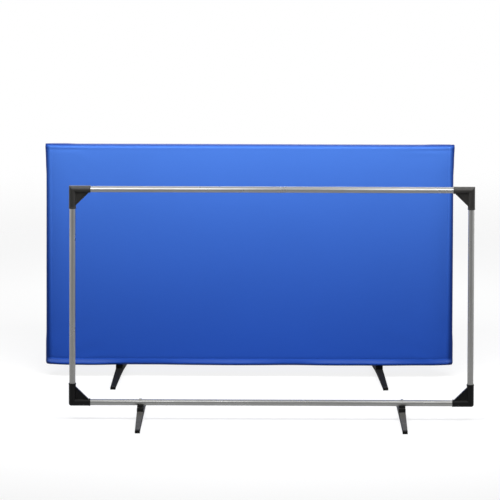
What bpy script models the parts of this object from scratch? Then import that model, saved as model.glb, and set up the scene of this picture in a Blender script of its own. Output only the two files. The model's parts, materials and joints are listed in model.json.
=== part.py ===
"""Pair of table tennis barriers: one with its cloth cover on, one as the bare frame in front of it.

Each barrier is a rectangle of aluminium tube pushed into four moulded corner pieces, on two
swivelling plastic legs with rubber feet. Metres, Z up, the floor at Z = 0, width along X, and the
bare frame on the -Y side. The origin is on the floor under the middle of the pair.
"""

import math

import bmesh
import bpy
from mathutils import Matrix

# The pair
BARRIER_SPACING = 0.580
BARRIER_SHIFT = 0.076

# One frame, measured over its corner pieces
FRAME_WIDTH = 1.400
FRAME_HEIGHT = 0.785
GROUND_CLEARANCE = 0.048
TUBE_DIAMETER = 0.021
TUBE_WALL = 0.0012
SEAT_GAP = 0.0003

# Corner pieces
SOCKET_WALL = 0.0016
SOCKET_FLOOR = 0.002
RAIL_ARM = 0.062
POST_ARM = 0.068
MOUTH_BEAD_HEIGHT = 0.0006
MOUTH_BEAD_LENGTH = 0.004
TOP_CORNER_ROUND = 0.0015
BOTTOM_CORNER_ROUND = 0.008
INNER_CORNER_ROUND = 0.001
WEB_LEG = 0.0425
WEB_THICKNESS = 0.005
WEB_RIM_WIDTH = 0.014
WEB_RIM_THICKNESS = 0.0026
RIM_RUN_IN_SHARE = 0.4

# Legs, each one moulding that swivels on its bolt
LEG_INSET = 0.248
LEG_REACH = 0.190
LEG_ROOT_WIDTH = 0.024
LEG_TIP_WIDTH = 0.0175
LEG_NECK_LENGTH = 0.026
LEG_NECK_HEIGHT = 0.013
LEG_NECK_BATTER = 0.002
LEG_ROOT_HEIGHT = 0.013
LEG_TIP_HEIGHT = 0.0085
LEG_EDGE = 0.002
LEG_SIDE_WALL = 0.0025
LEG_ROOF = 0.003
LEG_RIB = 0.0024
LEG_LEDGE = 0.011
LEG_DIP_SHARE = 0.22
LEG_STATION_SHARES = (0.0, 0.25, 0.5, 0.75, 1.0)
POCKETS_PER_ARM = 3
POCKET_END_SHARE = 0.96
COVERED_TOE_OUT = math.radians(7)
BARE_TOE_OUT = math.radians(3)

# Rubber feet
FOOT_LENGTH = 0.014
FOOT_SOLE = 0.0025
FOOT_WALL = 0.0018
FOOT_EDGE = 0.001

# Leg bolt, its saddle, washer and nut
BOLT_DIAMETER = 0.006
BOLT_HEAD_DIAMETER = 0.0115
BOLT_HEAD_HEIGHT = 0.0034
BOLT_PROUD = 0.0015
BOLT_FIT = 0.0003
SADDLE_INSET = 0.0005
SADDLE_BASE = 0.006
SADDLE_GRIP = 0.0036
WASHER_DIAMETER = 0.012
WASHER_THICKNESS = 0.0012
NUT_ACROSS_FLATS = 0.010
NUT_HEIGHT = 0.005
NUT_WELL_FIT = 0.0018

# Cloth cover, a sleeve with an open, hemmed bottom
CLOTH_THICKNESS = 0.0012
HEM_HEIGHT = 0.026
HEM_SWELL = 0.003
HEM_OVER_LEG = 0.0016

# Facets
TUBE_SIDES = 24
BOLT_SIDES = 16
NUT_SIDES = 6
ROUND_STEPS = 3
DOME_STEPS = 4
BAND_STEPS = 10
TOP_BAND_STEPS = 5
HEM_STEPS = 6
SHARP_ANGLE = math.radians(35)
OVERRUN = 0.004

# Worked out from the sizes above
tube_radius = TUBE_DIAMETER / 2
bore_radius = tube_radius + SEAT_GAP
arm_radius = bore_radius + SOCKET_WALL
bead_radius = arm_radius + MOUTH_BEAD_HEIGHT
socket_start = bore_radius + SOCKET_FLOOR
post_x = FRAME_WIDTH / 2 - arm_radius
low_rail_z = GROUND_CLEARANCE + arm_radius
top_rail_z = GROUND_CLEARANCE + FRAME_HEIGHT - arm_radius
leg_x = FRAME_WIDTH / 2 - LEG_INSET
bolt_radius = BOLT_DIAMETER / 2
bolt_hole_radius = bolt_radius + BOLT_FIT
saddle_bottom = low_rail_z - tube_radius - SADDLE_BASE
saddle_top = low_rail_z - tube_radius + SADDLE_GRIP
saddle_radius = arm_radius - SADDLE_INSET
leg_top = saddle_bottom - SEAT_GAP
arm_top = leg_top - LEG_NECK_HEIGHT
arm_bottom = arm_top - LEG_ROOT_HEIGHT
neck_end = LEG_NECK_LENGTH / 2
arm_start = neck_end + LEG_NECK_BATTER
ledge_bottom = leg_top - LEG_LEDGE
washer_top = ledge_bottom - SEAT_GAP
nut_top = washer_top - WASHER_THICKNESS - SEAT_GAP
bolt_end = nut_top - NUT_HEIGHT - BOLT_PROUD
bolt_seat = low_rail_z + tube_radius + SEAT_GAP
nut_well_radius = WASHER_DIAMETER / 2 + NUT_WELL_FIT
shoulder_y = LEG_REACH - FOOT_LENGTH
tip_top = FOOT_SOLE + LEG_TIP_HEIGHT
cover_inner = bead_radius + SEAT_GAP
cover_outer = cover_inner + CLOTH_THICKNESS
hem_z = leg_top + HEM_OVER_LEG
cover_half_width = post_x + cover_outer + HEM_SWELL
bare_half_width = post_x + bead_radius
centring = (cover_half_width - bare_half_width) / 2


def finished(name, bm):
    """A mesh from bm with its faces pointing out and only its real edges sharp."""
    bmesh.ops.recalc_face_normals(bm, faces=bm.faces)
    mesh = bpy.data.meshes.new(name)
    bm.to_mesh(mesh)
    bm.free()
    mesh.shade_smooth()
    mesh.set_sharp_from_angle(angle=SHARP_ANGLE)
    return mesh


def skin_rings(bm, rings):
    """Joins rings of equally many vertices one after another with quads."""
    for ring, following in zip(rings, rings[1:]):
        count = len(ring)
        for i in range(count):
            j = (i + 1) % count
            bm.faces.new((ring[i], ring[j], following[j], following[i]))


def loft(name, sections):
    """A closed solid through sections, lists of equally many points, with flat ends."""
    bm = bmesh.new()
    rings = [[bm.verts.new(point) for point in section] for section in sections]
    skin_rings(bm, rings)
    bm.faces.new(rings[0])
    bm.faces.new(rings[-1])
    return finished(name, bm)


def ring_loft(name, sections):
    """As loft, but the last section joins the first, as round a tube's wall."""
    bm = bmesh.new()
    rings = [[bm.verts.new(point) for point in section] for section in sections]
    skin_rings(bm, rings + rings[:1])
    return finished(name, bm)


def cloth_sheet(name, outer, inner):
    """A sheet with thickness between two grids of points, its four borders closed."""
    bm = bmesh.new()
    grids = [[[bm.verts.new(p) for p in row] for row in grid] for grid in (outer, inner)]
    rows = len(outer)
    columns = len(outer[0])
    for grid in grids:
        for i in range(rows - 1):
            for j in range(columns - 1):
                bm.faces.new((grid[i][j], grid[i][j + 1], grid[i + 1][j + 1], grid[i + 1][j]))
    front, back = grids
    for j in range(columns - 1):
        for i in (0, rows - 1):
            bm.faces.new((front[i][j], front[i][j + 1], back[i][j + 1], back[i][j]))
    for i in range(rows - 1):
        for j in (0, columns - 1):
            bm.faces.new((front[i][j], front[i + 1][j], back[i + 1][j], back[i][j]))
    return finished(name, bm)


def circle(radius, height, sides):
    """Points of a circle about Z."""
    turn = math.tau / sides
    return [
        (radius * math.cos(k * turn), radius * math.sin(k * turn), height) for k in range(sides)
    ]


def rod(name, radius, bottom, top, sides):
    """A round bar about Z."""
    return loft(name, [circle(radius, bottom, sides), circle(radius, top, sides)])


def prism(name, outline, half_width):
    """An outline of (x, z) points, extruded along Y to both sides."""
    near = [(x, -half_width, z) for x, z in outline]
    far = [(x, half_width, z) for x, z in outline]
    return loft(name, [near, far])


def moved(mesh, matrix):
    """The mesh, moved in its own coordinates."""
    mesh.transform(matrix)
    return mesh


def along_x(mesh):
    """Turns a shape made about Z to lie about X."""
    return moved(mesh, Matrix.Rotation(math.pi / 2, 4, "Y"))


def with_booleans(name, body, joined=(), cut=()):
    """The body with other solids joined to it and then cut from it, as one mesh."""
    scene = bpy.context.scene
    work = bpy.data.objects.new(name, body)
    scene.collection.objects.link(work)
    guides = []
    for operation, solids in (("UNION", joined), ("DIFFERENCE", cut)):
        for solid in solids:
            guide = bpy.data.objects.new(solid.name, solid)
            guide.hide_render = True
            guide.display_type = "WIRE"
            scene.collection.objects.link(guide)
            guides.append(guide)
            boolean = work.modifiers.new(solid.name, "BOOLEAN")
            boolean.operation = operation
            boolean.solver = "EXACT"
            boolean.object = guide
    graph = bpy.context.evaluated_depsgraph_get()
    result = bpy.data.meshes.new_from_object(work.evaluated_get(graph))
    result.name = name
    for item in (work, *guides):
        bpy.data.objects.remove(item)
    result.shade_smooth()
    result.set_sharp_from_angle(angle=SHARP_ANGLE)
    return result


def paint(name, colour, roughness, metallic):
    """A plain Principled material."""
    material = bpy.data.materials.new(name)
    material.use_nodes = True
    shader = material.node_tree.nodes["Principled BSDF"]
    shader.inputs["Base Color"].default_value = (*colour, 1)
    shader.inputs["Roughness"].default_value = roughness
    shader.inputs["Metallic"].default_value = metallic
    return material


def place(name, mesh, material, parent, location=(0, 0, 0), rotation=(0, 0, 0)):
    """One named piece, with the mesh shared where it is repeated."""
    if not mesh.materials:
        mesh.materials.append(material)
    piece = bpy.data.objects.new(name, mesh)
    piece.location = location
    piece.rotation_euler = rotation
    piece.parent = parent
    bpy.context.scene.collection.objects.link(piece)
    return piece


def anchor(name, location, rotation=(0, 0, 0), parent=None):
    """An empty that carries pieces."""
    empty = bpy.data.objects.new(name, None)
    empty.location = location
    empty.rotation_euler = rotation
    empty.parent = parent
    bpy.context.scene.collection.objects.link(empty)
    return empty


def tube(name, length):
    """A length of frame tube about Z, centred on the origin."""
    half = length / 2
    inner = tube_radius - TUBE_WALL
    return ring_loft(
        name,
        [
            circle(tube_radius, -half, TUBE_SIDES),
            circle(tube_radius, half, TUBE_SIDES),
            circle(inner, half, TUBE_SIDES),
            circle(inner, -half, TUBE_SIDES),
        ],
    )


def rail(name):
    """A horizontal tube that seats on the floors of two corner sockets."""
    return along_x(tube(name, 2 * (post_x - socket_start - SEAT_GAP)))


def drilled_rail(name):
    """The bottom rail, drilled through for the two leg bolts."""
    drills = []
    for side in (-1, 1):
        drill = rod("drill", bolt_hole_radius, -tube_radius - OVERRUN, tube_radius + OVERRUN, BOLT_SIDES)
        drills.append(moved(drill, Matrix.Translation((side * leg_x, 0, 0))))
    return with_booleans(name, rail(name), cut=drills)


def post(name):
    """A vertical tube between the corner pieces."""
    return tube(name, top_rail_z - low_rail_z - 2 * (socket_start + SEAT_GAP))


def corner_skin(name, corner_round):
    """The outside of the two arms: one round section swept along the rail arm (+X), round the
    bend, and along the post arm (-Z). The bend's radius grows from the inside to the outside."""
    turn = math.tau / TUBE_SIDES
    angles = [k * turn for k in range(TUBE_SIDES)]
    bead_start = MOUTH_BEAD_LENGTH + MOUTH_BEAD_HEIGHT

    def rail_ring(radius, reach):
        return [(reach, radius * math.sin(a), radius * math.cos(a)) for a in angles]

    def post_ring(radius, reach):
        return [(-radius * math.cos(a), radius * math.sin(a), -reach) for a in angles]

    def bend_ring(share):
        ring = []
        for a in angles:
            offset = arm_radius * math.cos(a)
            outward = (1 + math.cos(a)) / 2
            fillet = INNER_CORNER_ROUND + (corner_round - INNER_CORNER_ROUND) * outward
            swing = math.pi / 2 * (1 + share)
            x = fillet - offset + fillet * math.cos(swing)
            z = offset - fillet + fillet * math.sin(swing)
            ring.append((x, arm_radius * math.sin(a), z))
        return ring

    sections = [
        rail_ring(bead_radius, RAIL_ARM),
        rail_ring(bead_radius, RAIL_ARM - MOUTH_BEAD_LENGTH),
        rail_ring(arm_radius, RAIL_ARM - bead_start),
    ]
    sections += [bend_ring(k / ROUND_STEPS) for k in range(ROUND_STEPS + 1)]
    sections += [
        post_ring(arm_radius, POST_ARM - bead_start),
        post_ring(bead_radius, POST_ARM - MOUTH_BEAD_LENGTH),
        post_ring(bead_radius, POST_ARM),
    ]
    return loft(name, sections)


def corner_web():
    """The flat gusset between the arms, its root buried in them."""
    reach = arm_radius + WEB_LEG
    outline = [
        (0, 0),
        (reach, 0),
        (reach, -arm_radius),
        (arm_radius, -reach),
        (0, -reach),
    ]
    return prism("web", outline, WEB_THICKNESS / 2)


def corner_web_rim():
    """The flange along the gusset's sloping edge, running into both arms."""
    reach = arm_radius + WEB_LEG
    run_in = RIM_RUN_IN_SHARE * arm_radius
    inset = WEB_RIM_THICKNESS * math.sqrt(2)
    outline = [
        (reach + run_in, -arm_radius + run_in),
        (arm_radius - run_in, -reach - run_in),
        (arm_radius - run_in, -reach - run_in + inset),
        (reach + run_in - inset, -arm_radius + run_in),
    ]
    return prism("web_rim", outline, WEB_RIM_WIDTH / 2)


def corner(name, corner_round):
    """A moulded corner piece: two sockets, a rimmed gusset between them and a solid heel."""
    rail_bore = along_x(rod("rail_bore", bore_radius, socket_start, RAIL_ARM + OVERRUN, TUBE_SIDES))
    post_bore = rod("post_bore", bore_radius, -POST_ARM - OVERRUN, -socket_start, TUBE_SIDES)
    return with_booleans(
        name,
        corner_skin(name, corner_round),
        joined=(corner_web(), corner_web_rim()),
        cut=(rail_bore, post_bore),
    )


def leg_section(y, half_width, bottom, top, edge):
    """A leg's section at y: straight sides, chamfered upper edges."""
    return [
        (-half_width, y, bottom),
        (half_width, y, bottom),
        (half_width, y, top - edge),
        (half_width - edge, y, top),
        (edge - half_width, y, top),
        (-half_width, y, top - edge),
    ]


def leg_place(share):
    """How far out, how wide, how low and how high a leg's arm is at a share of its length."""
    dip = share * (1 + LEG_DIP_SHARE * (share - 1))
    y = arm_start + (shoulder_y - arm_start) * share
    half_width = (LEG_ROOT_WIDTH + (LEG_TIP_WIDTH - LEG_ROOT_WIDTH) * share) / 2
    bottom = arm_bottom + (FOOT_SOLE - arm_bottom) * dip
    top = arm_top + (tip_top - arm_top) * dip
    return y, half_width, bottom, top


def leg_tongue(y, spread, rise):
    """The narrowed end that plugs into a rubber foot, grown by the given amounts."""
    half_width = LEG_TIP_WIDTH / 2 - FOOT_WALL - SEAT_GAP + spread
    bottom = FOOT_SOLE + SEAT_GAP - rise
    top = tip_top - FOOT_WALL - SEAT_GAP + rise
    return leg_section(y, half_width, bottom, top, LEG_EDGE / 2)


def leg_pockets():
    """The ribbed hollow under both arms, as separate cutters between the ribs."""
    pockets = []
    start = arm_start + LEG_SIDE_WALL
    span = POCKET_END_SHARE * shoulder_y - start
    pitch = (span + LEG_RIB) / POCKETS_PER_ARM
    for side in (-1, 1):
        for k in range(POCKETS_PER_ARM):
            near = start + k * pitch
            sections = []
            for distance in (near, near + pitch - LEG_RIB):
                share = (distance - arm_start) / (shoulder_y - arm_start)
                y, half_width, bottom, top = leg_place(share)
                half = half_width - LEG_SIDE_WALL
                roof = top - LEG_ROOF
                low = bottom - OVERRUN
                sections.append(
                    [(-half, side * y, low), (half, side * y, low), (half, side * y, roof), (-half, side * y, roof)]
                )
            pockets.append(loft("pocket", sections))
    return pockets


def leg(name):
    """One leg: two drooping tapered arms from an upright neck, hollow and ribbed underneath."""
    arm = [leg_place(share) for share in LEG_STATION_SHARES]
    tongue_end = LEG_REACH - FOOT_WALL - SEAT_GAP
    sections = [leg_tongue(-tongue_end, 0, 0), leg_tongue(-shoulder_y, 0, 0)]
    sections += [leg_section(-y, w, low, high, LEG_EDGE) for y, w, low, high in reversed(arm)]
    for y in (-neck_end, neck_end):
        sections.append(leg_section(y, LEG_ROOT_WIDTH / 2, arm_bottom, leg_top, LEG_EDGE))
    sections += [leg_section(y, w, low, high, LEG_EDGE) for y, w, low, high in arm]
    sections += [leg_tongue(shoulder_y, 0, 0), leg_tongue(tongue_end, 0, 0)]
    hole = rod("hole", bolt_hole_radius, arm_bottom - OVERRUN, leg_top + OVERRUN, BOLT_SIDES)
    well = rod("well", nut_well_radius, arm_bottom - OVERRUN, ledge_bottom, TUBE_SIDES)
    return with_booleans(name, loft(name, sections), cut=(hole, well, *leg_pockets()))


def foot(name):
    """A rubber foot pushed over the +Y tongue of a leg."""
    half = LEG_TIP_WIDTH / 2
    start = shoulder_y + SEAT_GAP
    shell = loft(
        name,
        [
            leg_section(start, half, 0, tip_top, LEG_EDGE),
            leg_section(LEG_REACH - FOOT_EDGE, half, 0, tip_top, LEG_EDGE),
            leg_section(LEG_REACH, half - FOOT_EDGE, FOOT_EDGE, tip_top - FOOT_EDGE, LEG_EDGE),
        ],
    )
    pocket = loft(
        "foot_pocket",
        [
            leg_tongue(shoulder_y - OVERRUN, SEAT_GAP, SEAT_GAP),
            leg_tongue(LEG_REACH - FOOT_WALL, SEAT_GAP, SEAT_GAP),
        ],
    )
    return with_booleans(name, shell, cut=(pocket,))


def saddle(name):
    """The round spacer that cradles the rail and gives the leg a flat face to turn on."""
    puck = rod(name, saddle_radius, saddle_bottom, saddle_top, TUBE_SIDES)
    half = saddle_radius + OVERRUN
    groove = along_x(rod("groove", tube_radius + SEAT_GAP, -half, half, TUBE_SIDES))
    moved(groove, Matrix.Translation((0, 0, low_rail_z)))
    hole = rod("hole", bolt_hole_radius, saddle_bottom - OVERRUN, saddle_top + OVERRUN, BOLT_SIDES)
    return with_booleans(name, puck, cut=(groove, hole))


def leg_bolt(name):
    """A dome-headed bolt, down through the rail, the saddle and the leg."""
    head_radius = BOLT_HEAD_DIAMETER / 2
    sections = []
    for k in range(DOME_STEPS):
        angle = math.pi / 2 * (k + 1 / 2) / (DOME_STEPS - 1 / 2)
        height = bolt_seat + BOLT_HEAD_HEIGHT * math.cos(angle)
        sections.append(circle(head_radius * math.sin(angle), height, BOLT_SIDES))
    sections += [
        circle(bolt_radius, bolt_seat, BOLT_SIDES),
        circle(bolt_radius, bolt_end, BOLT_SIDES),
    ]
    return loft(name, sections)


def washer(name):
    """A flat ring under the leg's ledge."""
    rings = ((WASHER_DIAMETER / 2, washer_top), (WASHER_DIAMETER / 2, washer_top - WASHER_THICKNESS))
    bores = ((bolt_hole_radius, washer_top - WASHER_THICKNESS), (bolt_hole_radius, washer_top))
    return ring_loft(name, [circle(radius, z, BOLT_SIDES) for radius, z in rings + bores])


def nut(name):
    """A hexagon nut on the bolt's end."""
    corner_radius = NUT_ACROSS_FLATS / 2 / math.cos(math.pi / NUT_SIDES)
    body = rod(name, corner_radius, nut_top - NUT_HEIGHT, nut_top, NUT_SIDES)
    bore = rod("bore", bolt_hole_radius, nut_top - NUT_HEIGHT - OVERRUN, nut_top + OVERRUN, BOLT_SIDES)
    return with_booleans(name, body, cut=(bore,))


def hem_levels():
    """Heights up the hem with the swell of its rolled cord at each."""
    levels = []
    for k in range(HEM_STEPS + 1):
        share = k / HEM_STEPS
        levels.append((hem_z + HEM_HEIGHT * share, HEM_SWELL * math.sin(math.pi * share)))
    return levels


def cover_face(name, side):
    """The front (side -1) or back (side 1) cloth, from post to post."""
    half = post_x - SEAT_GAP
    levels = hem_levels() + [(top_rail_z - SEAT_GAP, 0)]
    outer = [[(x, side * (cover_outer + swell), z) for x in (-half, half)] for z, swell in levels]
    inner = [[(x, side * cover_inner, z) for x in (-half, half)] for z, swell in levels]
    return cloth_sheet(name, outer, inner)


def half_turn():
    """Angles over a half circle, from the front round the outside to the back."""
    return [math.pi * (k / BAND_STEPS - 1 / 2) for k in range(BAND_STEPS + 1)]


def quarter_turn(side):
    """Angles from just beside the top seam down to the front (side -1) or the back (side 1)."""
    seam = SEAT_GAP / 2 / cover_inner
    return [side * (seam + (math.pi / 2 - seam) * k / TOP_BAND_STEPS) for k in range(TOP_BAND_STEPS + 1)]


def cover_top(name, side):
    """The front (side -1) or back (side 1) half of the cloth bent over the top rail, from the
    seam along its top, mitred at both ends."""
    grids = []
    for radius in (cover_outer, cover_inner):
        grid = []
        for end in (-1, 1):
            row = []
            for angle in quarter_turn(side):
                rise = radius * math.cos(angle)
                x = end * (post_x + rise - SEAT_GAP)
                row.append((x, radius * math.sin(angle), top_rail_z + rise))
            grid.append(row)
        grids.append(grid)
    return cloth_sheet(name, *grids)


def cover_end(name, side):
    """The cloth bent round a post, from the hem up to the mitred corner."""
    grids = []
    for radius, swells in ((cover_outer, True), (cover_inner, False)):
        grid = []
        for z, swell in hem_levels():
            reach = radius + swell * swells
            grid.append(
                [(side * (post_x + reach * math.cos(a)), reach * math.sin(a), z) for a in half_turn()]
            )
        top = []
        for angle in half_turn():
            rise = radius * math.cos(angle)
            top.append((side * (post_x + rise), radius * math.sin(angle), top_rail_z + rise - SEAT_GAP))
        grid.append(top)
        grids.append(grid)
    return cloth_sheet(name, *grids)


def build_frame(unit, carrier, shapes, finishes):
    """The tubes and corner pieces of one barrier."""
    metal = finishes["metal"]
    plastic = finishes["plastic"]
    place(f"{unit}_top_rail", shapes["rail"], metal, carrier, (0, 0, top_rail_z))
    place(f"{unit}_bottom_rail", shapes["drilled_rail"], metal, carrier, (0, 0, low_rail_z))
    post_z = (low_rail_z + top_rail_z) / 2
    for side, word in ((-1, "left"), (1, "right")):
        place(f"{unit}_{word}_post", shapes["post"], metal, carrier, (side * post_x, 0, post_z))
    half = math.pi
    corners = (
        ("top_left", "top_corner", -1, top_rail_z, (0, 0, 0)),
        ("top_right", "top_corner", 1, top_rail_z, (0, 0, half)),
        ("bottom_left", "bottom_corner", -1, low_rail_z, (half, 0, 0)),
        ("bottom_right", "bottom_corner", 1, low_rail_z, (0, half, 0)),
    )
    for word, shape, side, z, rotation in corners:
        place(f"{unit}_{word}_corner", shapes[shape], plastic, carrier, (side * post_x, 0, z), rotation)


def build_leg(unit, word, side, toe_out, carrier, shapes, finishes):
    """One leg with its feet on a pivot, and the bolt, saddle, washer and nut that hold it."""
    spot = (side * leg_x, 0, 0)
    place(f"{unit}_{word}_saddle", shapes["saddle"], finishes["plastic"], carrier, spot)
    for fastener in ("bolt", "washer", "nut"):
        place(f"{unit}_{word}_leg_{fastener}", shapes[fastener], finishes["steel"], carrier, spot)
    pivot = anchor(f"{unit}_{word}_leg_pivot", spot, (0, 0, side * toe_out), carrier)
    place(f"{unit}_{word}_leg", shapes["leg"], finishes["plastic"], pivot)
    for end, turn in (("rear", 0), ("front", math.pi)):
        place(f"{unit}_{word}_{end}_foot", shapes["foot"], finishes["rubber"], pivot, rotation=(0, 0, turn))


def build_cover(carrier, cloth):
    """The six cloths of the sewn cover."""
    for side, word in ((-1, "front"), (1, "back")):
        panel = f"cover_{word}_panel"
        place(panel, cover_face(panel, side), cloth, carrier)
        band = f"cover_top_{word}_band"
        place(band, cover_top(band, side), cloth, carrier)
    for side, word in ((-1, "left"), (1, "right")):
        band = f"cover_{word}_band"
        place(band, cover_end(band, side), cloth, carrier)


def main():
    for item in list(bpy.data.objects):
        bpy.data.objects.remove(item)
    finishes = {
        "metal": paint("satin_aluminium", (0.62, 0.62, 0.6), 0.3, 1),
        "plastic": paint("black_moulding", (0.018, 0.018, 0.019), 0.5, 0),
        "rubber": paint("black_rubber", (0.012, 0.012, 0.012), 0.8, 0),
        "steel": paint("zinc_plate", (0.6, 0.6, 0.58), 0.35, 1),
        "cloth": paint("blue_cloth", (0.035, 0.12, 0.52), 0.5, 0),
    }
    shapes = {
        "rail": rail("rail"),
        "drilled_rail": drilled_rail("drilled_rail"),
        "post": post("post"),
        "top_corner": corner("top_corner", TOP_CORNER_ROUND),
        "bottom_corner": corner("bottom_corner", BOTTOM_CORNER_ROUND),
        "leg": leg("leg"),
        "foot": foot("foot"),
        "saddle": saddle("saddle"),
        "bolt": leg_bolt("bolt"),
        "washer": washer("washer"),
        "nut": nut("nut"),
    }
    units = (("covered", 1, COVERED_TOE_OUT), ("bare", -1, BARE_TOE_OUT))
    for unit, depth, toe_out in units:
        x = centring - depth * BARRIER_SHIFT / 2
        carrier = anchor(f"{unit}_barrier", (x, depth * BARRIER_SPACING / 2, 0))
        build_frame(unit, carrier, shapes, finishes)
        for side, word in ((-1, "left"), (1, "right")):
            build_leg(unit, word, side, toe_out, carrier, shapes, finishes)
        if unit == "covered":
            build_cover(carrier, finishes["cloth"])


main()
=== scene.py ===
"""Looks of a pair of table tennis barriers: one in its blue cloth cover, one as the bare tube frame.

The tubes, corner pieces, legs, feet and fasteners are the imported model's own nodes with finishes of
their own. The cover is one sewn sleeve, shaped here over the frame that it is drawn over, with its
hem and its stitching. Metres, Z up, the bare frame on the -Y side.
"""

import json
import math

import bmesh
import bpy
import numpy as np
from mathutils import Matrix, Vector, noise


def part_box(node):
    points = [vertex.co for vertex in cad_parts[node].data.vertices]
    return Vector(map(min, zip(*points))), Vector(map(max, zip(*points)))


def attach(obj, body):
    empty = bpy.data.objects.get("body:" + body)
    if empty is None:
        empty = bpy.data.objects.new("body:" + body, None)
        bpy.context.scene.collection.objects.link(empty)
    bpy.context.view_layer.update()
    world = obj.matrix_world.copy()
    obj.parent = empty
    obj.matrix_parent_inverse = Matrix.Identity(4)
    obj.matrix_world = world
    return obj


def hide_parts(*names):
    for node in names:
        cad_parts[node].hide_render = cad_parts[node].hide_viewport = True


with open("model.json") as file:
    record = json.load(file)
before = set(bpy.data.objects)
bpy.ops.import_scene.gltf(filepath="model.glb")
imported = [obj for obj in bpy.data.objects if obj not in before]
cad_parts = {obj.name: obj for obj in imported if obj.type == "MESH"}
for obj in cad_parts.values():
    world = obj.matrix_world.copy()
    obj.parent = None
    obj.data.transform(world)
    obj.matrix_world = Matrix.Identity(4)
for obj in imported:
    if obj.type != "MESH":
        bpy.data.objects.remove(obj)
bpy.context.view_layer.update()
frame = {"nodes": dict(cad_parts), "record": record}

MM = 0.001

# Cover: its cloth, how far it stands off the frame, and how wide it turns over the rail and the posts
CLOTH = 0.9 * MM
OVER_TUBE = 2.3 * MM
OVER_ARM = 1.2 * MM
TURN_OVER_TUBE = 10 * MM
TURN_OVER_ARM = 11 * MM
CORNER_ROUND = 4 * MM

# Prints of the corner pieces, which fade past an arm's mouth and away from the arm
ARM_FADE = 34 * MM
ARM_FADE_START = ARM_FADE / 4
ARM_FADE_INWARD = 60 * MM

# Hem: a doubled band that swells and waves below its seam, and curls in at its lower edge
HEM_SEAM_MM = 25
HEM_HEIGHT = HEM_SEAM_MM * MM
HEM_ROLL = 11 * MM
HEM_CURL = 10 * MM
HEM_SWELL = 9 * MM
HEM_FLARE_CURVE = 1.7
HEM_MEAN = 0.5
HEM_SWING = 1.1
HEM_LEAST = 0.08
HEM_MOST = 1.15
HEM_WAVE = 200 * MM
HEM_NOISE = 15.54
HEM_NOISE_STEP = 20
HEM_AT_SIDES = 0.25
HEM_RISE = 0.6 * MM
HEM_RISE_WAVE = 3 * HEM_WAVE
HEM_RISE_NOISE = 8.1
STITCH_PINCH = 0.8 * MM
STITCH_PINCH_REACH = 3.2 * MM

# Slack: the side edges stand off the posts and flare at the top, and the faces fall back to the posts
SIDE_SLACK = 6.5 * MM
SIDE_FLARE = 3 * MM
SIDE_FLARE_REACH = 35 * MM
SIDE_FALL = 11 * MM
SIDE_FALL_REACH = 75 * MM
TOP_FALL_SHARE = 0.28
TOP_REACH_SHARE = 0.45

# Crease under the top rail, near the corner pieces
CREASE = 1.3 * MM
CREASE_DROP = 3 * MM
CREASE_WIDTH = 5 * MM
CREASE_RUN = 130 * MM

# Slow billow of the faces, and the folds that run out from their corners
FACE_FROM_POST = 90 * MM
BILLOW = 0.9 * MM
BILLOW_WAVE = 210 * MM
BILLOW_NOISE = 5.3
FOLD_HEIGHT = 1.2 * MM
FOLD_REACH = 130 * MM
FOLD_START = FOLD_REACH / 5
FOLD_FULL = FOLD_REACH / 2
FOLD_LEAN = 4
FOLDS_ROUND_A_CORNER = 13
FOLD_HELD_SHARE = 0.6

# Mesh of the cover: steps in its turn, and rows and columns that are closer at the hem and the edges
TURN_STEPS = 9
COLUMN_STEP = 15 * MM
ROW_STEP = 15 * MM
HEM_ROWS_MM = (0, 1.2, 2.6, 4, 5.5, 7.5, 10, 13, 16, 19, 21.5, 23.5, HEM_SEAM_MM, 26.5, 29, 33, 38)
EDGE_COLUMNS_MM = (0, 2, 4, 7, 11, 16, 23, 31, 41, 53)

# Stitching: rings of one stitch from end to end, then their lifts and girths in radii of the thread
STITCH_LENGTH = 3.0 * MM
STITCH_PITCH = 4.4 * MM
THREAD = 0.32 * MM
STITCH_SIDES = 5
SEAM_INSET_MM = 4
RING_SHARES = (-0.5, -0.42, -0.2, 0.2, 0.42, 0.5)
LIFT_SHARES = (-0.9, 0.1, 0.75, 0.75, 0.1, -0.9)
GIRTH_SHARES = (0.35, 0.9, 1.0, 1.0, 0.9, 0.35)

# Weave, in radians a metre, with its thick threads, the slow drift of its dye, and its low gloss
WEAVE_TURNS = 9000.0
WEAVE_DEPTH = 0.06 * MM
SLUB_RUN = (40, 40, 900)
THICK_THREAD = 1.14
SLUB_SHARE = 0.55
DYE_DRIFT_SHARE = 0.45
DYE_DRIFT_SCALE = 3.1
CLOTH_GLOSS = 0.16
CLOTH_SMOOTHER = 0.05
CLOTH_ROUGHER = 0.06

# Painted highlight: a pale band along the hem, from its lower edge, where the cloth looks up
HEM_HIGHLIGHT_LOW = 9 * MM
HEM_HIGHLIGHT_HIGH = 20 * MM
HEM_HIGHLIGHT_FADE = 4 * MM
HEM_HIGHLIGHT_RUN = (9, 9, 60)
HEM_HIGHLIGHT_LEAST = 0.5
LOOKS_UP_FROM = 0.04
LOOKS_UP_FULL = 0.26

# Painted shade at the cover's side edges, which widens towards the hem, and painted shade under the
# hem and at the top
EDGE_SHADE_FROM = 13 * MM
EDGE_SHADE_WIDENS = 10 * MM
EDGE_SHADE_CURVE = 1.3
HEM_EDGE_SHADE = 7 * MM
TOP_EDGE_SHADE = 5 * MM

# Relief and wear of the hard pieces, and how finely drawn lines repeat along and across a tube
TUBE_EDGE = 2.2 * MM
MOULDED_EDGE = 0.9 * MM
PLATED_EDGE = 0.5 * MM
LINE_DEPTH = 0.02 * MM
GRAIN_DEPTH = 0.05 * MM
LINES_ALONG = 5
LINES_ACROSS = 1300
PLATED_LINES = 700
CORNER_GRAIN = 1500.0
LEG_GRAIN = 1100.0
RUBBER_GRAIN = 2200.0
DARK_PATCH = 0.8
LIGHT_PATCH = 1.25
GLOSS_DRIFT = 0.07

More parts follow.
